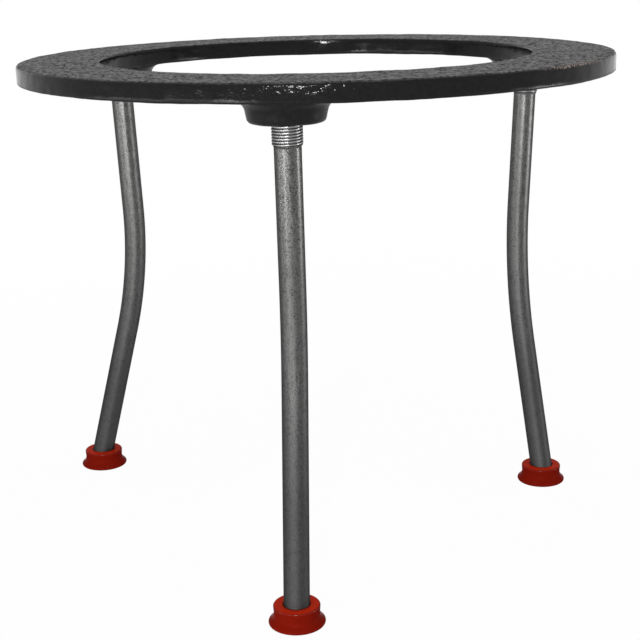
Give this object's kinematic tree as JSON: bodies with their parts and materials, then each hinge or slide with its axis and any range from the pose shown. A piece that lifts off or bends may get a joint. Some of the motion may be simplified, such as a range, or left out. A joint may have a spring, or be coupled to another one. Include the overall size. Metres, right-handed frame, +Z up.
{
  "type": "lab tripod stand",
  "caption": "Low tripod stand: flat cast iron ring with bosses under it, carried on splayed steel rods with rubber feet, to hold a vessel over a burner.",
  "frame": {"origin": "on the ring's axis, at the floor that the feet stand on", "axes": "+Z up along the ring's axis; the front leg stands on the -Y side; +X to the right seen from the front"},
  "size_m": [0.177, 0.1799, 0.1445],
  "materials": {
    "ring_enamel": "black gloss enamel over rough sand-cast iron",
    "leg_steel": "plain drawn mild steel rod, dull grey, rolled thread at the top",
    "foot_rubber": "red moulded rubber, satin"
  },
  "bodies": {
    "root": {"cast_ring": "ring_enamel", "leg_front": "leg_steel", "leg_left": "leg_steel", "leg_right": "leg_steel", "foot_front": "foot_rubber", "foot_left": "foot_rubber", "foot_right": "foot_rubber"}
  },
  "joints": []
}
